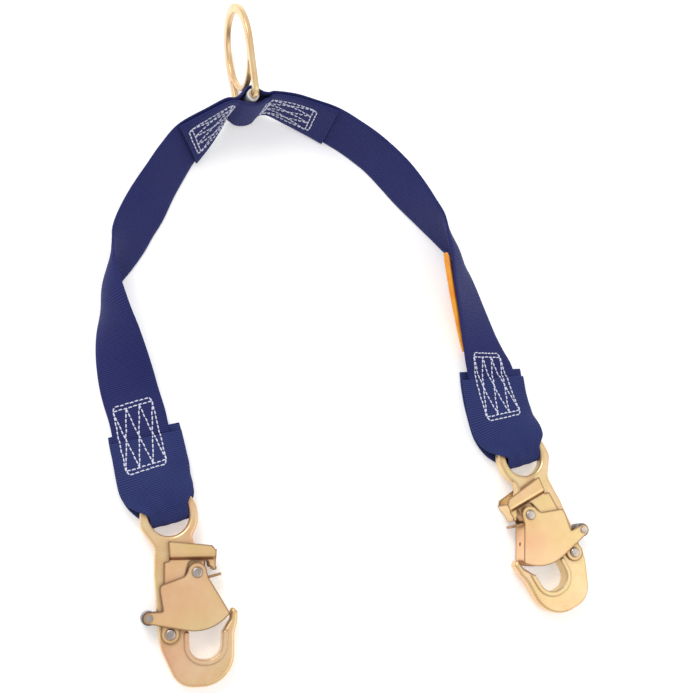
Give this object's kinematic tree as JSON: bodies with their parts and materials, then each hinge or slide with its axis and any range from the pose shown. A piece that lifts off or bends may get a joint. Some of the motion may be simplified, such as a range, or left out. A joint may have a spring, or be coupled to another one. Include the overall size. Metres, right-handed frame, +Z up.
{
  "type": "two-leg web lanyard",
  "caption": "Two-leg webbing lanyard with a forged ring in the middle and a self-locking snap hook sewn to each end.",
  "frame": {"origin": "centre of the bounding box at the base, on the surface the lanyard lies on", "axes": "+Y towards the ring, +X to the right leg, +Z up"},
  "size_m": [0.3635, 0.4825, 0.0665],
  "materials": {
    "webbing": "woven polyester",
    "wear_web": "woven nylon",
    "label": "coated sheet",
    "sleeve": "translucent",
    "forging": "yellow zinc plating",
    "sheet_steel": "yellow zinc plating",
    "rivet_steel": "bright",
    "roller_steel": "knurled",
    "spring_steel": "bright"
  },
  "bodies": {
    "webbing": {"main_web": "webbing", "ring_keeper_web": "webbing", "hook_wrap_left": "wear_web", "hook_wrap_right": "wear_web", "id_label": "label"},
    "ring": {"ring": "forging", "ring_sleeve": "sleeve"},
    "hook_left": {"hook_left_body": "forging", "hook_left_gate_rivet": "rivet_steel", "hook_left_lock_rivet": "rivet_steel", "hook_left_gate_spring": "spring_steel", "hook_left_lock_spring": "spring_steel"},
    "gate_left": {"hook_left_gate": "sheet_steel", "hook_left_roller_pin": "rivet_steel"},
    "lock_left": {"hook_left_lock_lever": "sheet_steel"},
    "roller_left": {"hook_left_roller": "roller_steel"},
    "hook_right": {"hook_right_body": "forging", "hook_right_gate_rivet": "rivet_steel", "hook_right_lock_rivet": "rivet_steel", "hook_right_gate_spring": "spring_steel", "hook_right_lock_spring": "spring_steel"},
    "gate_right": {"hook_right_gate": "sheet_steel", "hook_right_roller_pin": "rivet_steel"},
    "lock_right": {"hook_right_lock_lever": "sheet_steel"},
    "roller_right": {"hook_right_roller": "roller_steel"}
  },
  "joints": [
    {"name": "ring_swing", "type": "hinge", "parent": "webbing", "child": "ring", "pos_m": [-0.0821, 0.171, 0.0285], "axis": [0.1004, -0.1168, 0.9881], "range_deg": [-50, 50]},
    {"name": "hook_left_swing", "type": "hinge", "parent": "webbing", "child": "hook_left", "pos_m": [-0.13208, -0.11288, 0.0099], "axis": [0.965, 0.2622, 0], "range_deg": [-75, 75]},
    {"name": "gate_left_open", "type": "hinge", "parent": "hook_left", "child": "gate_left", "pos_m": [-0.1081, -0.1668, 0.0099], "axis": [0, 0, -1], "range_deg": [0, 28], "stiffness_Nm_per_rad": 0.12, "springref_deg": -20.05},
    {"name": "lock_left_press", "type": "hinge", "parent": "hook_left", "child": "lock_left", "pos_m": [-0.12466, -0.20745, 0.0099], "axis": [0, 0, 1], "range_deg": [0, 4]},
    {"name": "roller_left_spin", "type": "hinge", "parent": "gate_left", "child": "roller_left", "pos_m": [-0.13918, -0.19695, 0.0099], "axis": [0, 0, 1], "continuous": true},
    {"name": "hook_right_swing", "type": "hinge", "parent": "webbing", "child": "hook_right", "pos_m": [0.12828, -0.06687, 0.0099], "axis": [-0.9659, -0.2588, 0], "range_deg": [-75, 75]},
    {"name": "gate_right_open", "type": "hinge", "parent": "hook_right", "child": "gate_right", "pos_m": [0.13468, -0.12552, 0.0099], "axis": [0, 0, 1], "range_deg": [0, 28], "stiffness_Nm_per_rad": 0.12, "springref_deg": -20.05},
    {"name": "lock_right_press", "type": "hinge", "parent": "hook_right", "child": "lock_right", "pos_m": [0.16943, -0.15234, 0.0099], "axis": [0, 0, -1], "range_deg": [0, 4]},
    {"name": "roller_right_spin", "type": "hinge", "parent": "gate_right", "child": "roller_right", "pos_m": [0.1767, -0.13596, 0.0099], "axis": [0, 0, 1], "continuous": true}
  ],
  "couplings": [
    {"joint": "lock_left_press", "follows": "gate_left_open", "ratio": 0.14286},
    {"joint": "lock_right_press", "follows": "gate_right_open", "ratio": 0.14286}
  ]
}
